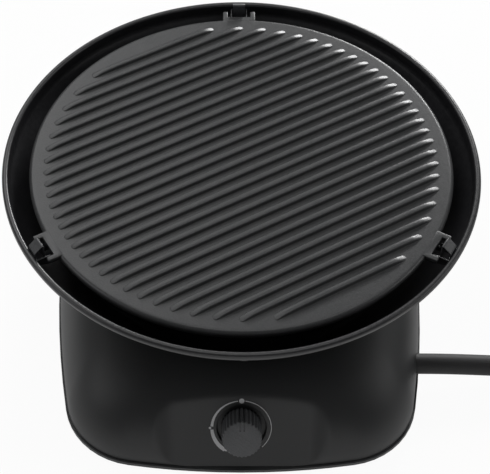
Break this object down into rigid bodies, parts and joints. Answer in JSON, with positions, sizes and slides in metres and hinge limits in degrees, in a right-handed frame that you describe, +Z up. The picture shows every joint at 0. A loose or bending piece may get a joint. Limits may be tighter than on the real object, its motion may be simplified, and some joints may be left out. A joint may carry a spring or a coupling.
{
  "type": "tabletop gas grill",
  "caption": "Round tabletop gas grill: ribbed cooking plate in a lift-out bowl with a rolled rim, on a rounded-square base with a control knob and a coiled gas hose.",
  "frame": {"origin": "on the table, under the middle of the grill's bounding box without its hose", "axes": "+Z up, -Y towards the user with the control knob, +X to the user's right, where the hose leaves"},
  "size_m": [0.6401, 0.3966, 0.1734],
  "materials": {
    "plate": "dark non-stick coat on cast metal, satin",
    "bowl": "black enamel, satin",
    "bracket": "plain steel sheet",
    "rivet": "plain steel",
    "seat": "zinc-plated steel sheet",
    "screw": "zinc-plated steel",
    "shell": "dark grey heat-resistant plastic, fine satin grain",
    "tray": "black plastic, satin",
    "foot": "black rubber",
    "knob": "dark grey plastic, satin",
    "spindle": "turned steel",
    "brass": "turned brass",
    "igniter": "black plastic",
    "ceramic": "glazed white ceramic",
    "lead": "red silicone",
    "pipe": "bent aluminium pipe",
    "burner": "cast aluminium, dull",
    "hose": "black rubber, dull"
  },
  "bodies": {
    "base": {"bowl_seat": "seat", "seat_screws": "screw", "base_shell": "shell", "base_tray": "tray", "bottom_screws": "screw", "feet": "foot", "valve_body": "brass", "valve_nut": "screw", "valve_bracket": "seat", "bracket_screws": "screw", "igniter": "igniter", "electrode": "ceramic", "electrode_tip": "spindle", "electrode_lead": "lead", "outlet_pipe": "pipe", "injector_holder": "brass", "injector": "brass", "venturi_tube": "pipe", "burner_body": "burner", "burner_cap": "burner", "burner_screws": "screw", "inlet_pipe": "pipe", "nozzle_bracket": "seat", "hose_nozzle": "brass", "nozzle_nut": "brass", "hose_clip": "screw", "gas_hose": "hose", "hose_coil": "hose", "hose_end_fitting": "brass"},
    "bowl": {"bowl": "bowl", "plate_bracket_back": "bracket", "plate_bracket_left": "bracket", "plate_bracket_right": "bracket", "bracket_rivets": "rivet"},
    "plate": {"grill_plate": "plate"},
    "control": {"knob": "knob", "knob_clip": "screw", "valve_spindle": "spindle"}
  },
  "joints": [
    {"name": "knob_turn", "type": "hinge", "parent": "base", "child": "control", "pos_m": [0, -0.17181, 0.03952], "axis": [0, -0.866, 0.5], "range_deg": [0, 150]},
    {"name": "bowl_lift", "type": "slide", "parent": "base", "child": "bowl", "axis": [0, 0, 1], "range_m": [0, 0.12]},
    {"name": "plate_lift", "type": "slide", "parent": "bowl", "child": "plate", "axis": [0, 0, 1], "range_m": [0, 0.12]}
  ]
}
